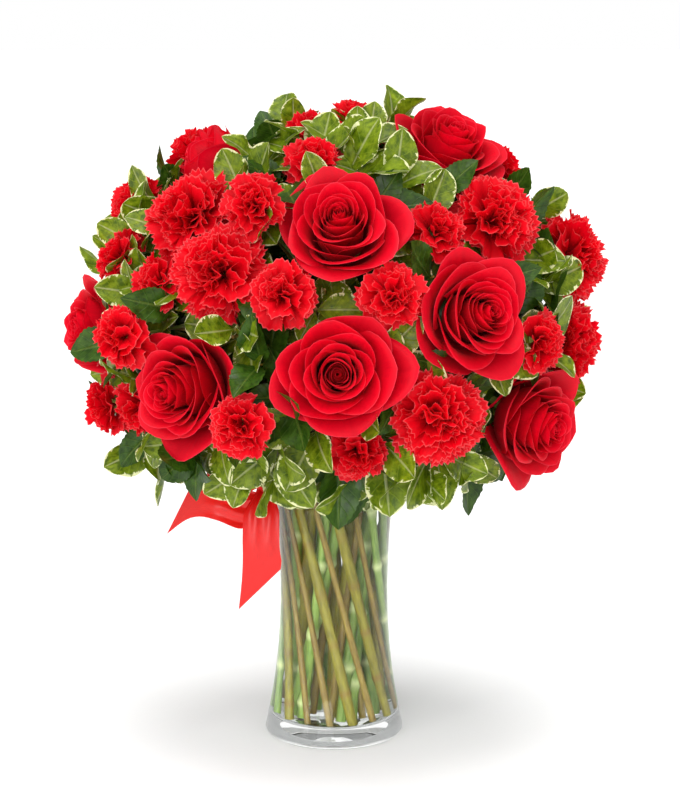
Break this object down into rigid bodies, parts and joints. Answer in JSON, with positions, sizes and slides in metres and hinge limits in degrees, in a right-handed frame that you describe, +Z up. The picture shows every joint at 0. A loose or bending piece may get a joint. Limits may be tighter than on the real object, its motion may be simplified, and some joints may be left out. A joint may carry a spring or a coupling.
{
  "type": "bouquet of roses and carnations in a glass vase",
  "caption": "Dome of red roses, carnations and variegated foliage standing in a flared clear glass vase with water, tied at the neck with a red satin ribbon.",
  "frame": {"origin": "centre of the vase's flat underside", "axes": "+Z up out of the vase, -Y to the front of the bunch, +X to its right as seen from the front"},
  "size_m": [0.3838, 0.3126, 0.4614],
  "materials": {
    "glass": "clear polished",
    "water": "clear liquid",
    "ribbon": "satin",
    "rose_red": "velvety petal",
    "carnation_red": "matte petal",
    "green_stem": "waxy",
    "woody_stem": "bark",
    "variegated_leaf": "waxy leaf"
  },
  "bodies": {
    "root": {"glass_vase": "glass", "water": "water", "ribbon_band": "ribbon", "ribbon_bow": "ribbon", "ribbon_tail_left": "ribbon", "ribbon_tail_right": "ribbon", "rose_top_left": "rose_red", "rose_top_left_stem": "woody_stem", "rose_top_right": "rose_red", "rose_top_right_stem": "woody_stem", "rose_front_top": "rose_red", "rose_front_top_stem": "woody_stem", "rose_left": "rose_red", "rose_left_stem": "woody_stem", "rose_front_left": "rose_red", "rose_front_left_stem": "woody_stem", "rose_front": "rose_red", "rose_front_stem": "woody_stem", "rose_front_right": "rose_red", "rose_front_right_stem": "woody_stem", "rose_right": "rose_red", "rose_right_stem": "woody_stem", "rose_back_left": "rose_red", "rose_back_left_stem": "woody_stem", "rose_back_top": "rose_red", "rose_back_top_stem": "woody_stem", "rose_back_right": "rose_red", "rose_back_right_stem": "woody_stem", "carnation_front_left": "carnation_red", "carnation_front_left_stem": "green_stem", "carnation_upper_left": "carnation_red", "carnation_upper_left_stem": "green_stem", "carnation_upper_right": "carnation_red", "carnation_upper_right_stem": "green_stem", "carnation_far_right": "carnation_red", "carnation_far_right_stem": "green_stem", "carnation_low_right": "carnation_red", "carnation_low_right_stem": "green_stem", "carnation_front_low": "carnation_red", "carnation_front_low_stem": "green_stem", "carnation_back_left": "carnation_red", "carnation_back_left_stem": "green_stem", "carnation_back_low": "carnation_red", "carnation_back_low_stem": "green_stem", "carnation_back_right": "carnation_red", "carnation_back_right_stem": "green_stem", "spray_top": "carnation_red", "spray_left": "carnation_red", "spray_front": "carnation_red", "spray_right": "carnation_red", "spray_low": "carnation_red", "spray_back": "carnation_red", "foliage_top": "variegated_leaf", "foliage_upper_right": "variegated_leaf", "foliage_right": "variegated_leaf", "foliage_front": "variegated_leaf", "foliage_upper_left": "variegated_leaf", "foliage_low_left": "variegated_leaf", "foliage_low_front": "variegated_leaf", "foliage_back": "variegated_leaf"}
  },
  "joints": []
}
